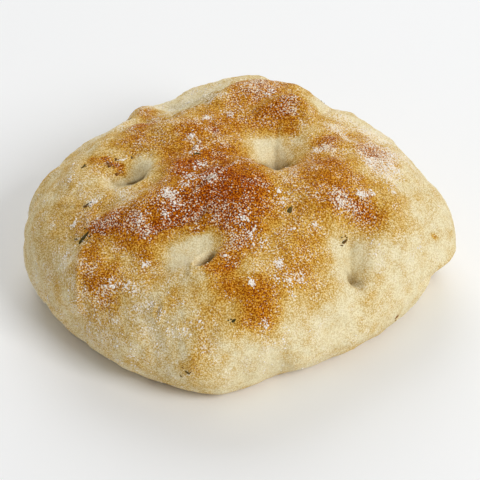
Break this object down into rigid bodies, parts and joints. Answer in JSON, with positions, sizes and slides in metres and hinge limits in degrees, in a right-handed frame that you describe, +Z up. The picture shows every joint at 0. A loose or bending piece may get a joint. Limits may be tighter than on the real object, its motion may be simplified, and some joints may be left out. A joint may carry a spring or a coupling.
{
  "type": "focaccia roll",
  "caption": "Square-cornered focaccia roll with a flat underside, a low domed top with finger pokes, a browned crust and rosemary bits.",
  "frame": {"origin": "middle of the roll's bounding box, at the flat underside it rests on", "axes": "+Z up out of the domed top, -Y towards the roll's front corner, +X to the right as seen from the front"},
  "size_m": [0.11, 0.1072, 0.0426],
  "materials": {
    "crust": "matt, golden brown crust with a dusting of flour"
  },
  "bodies": {
    "root": {"focaccia_roll": "crust"}
  },
  "joints": []
}
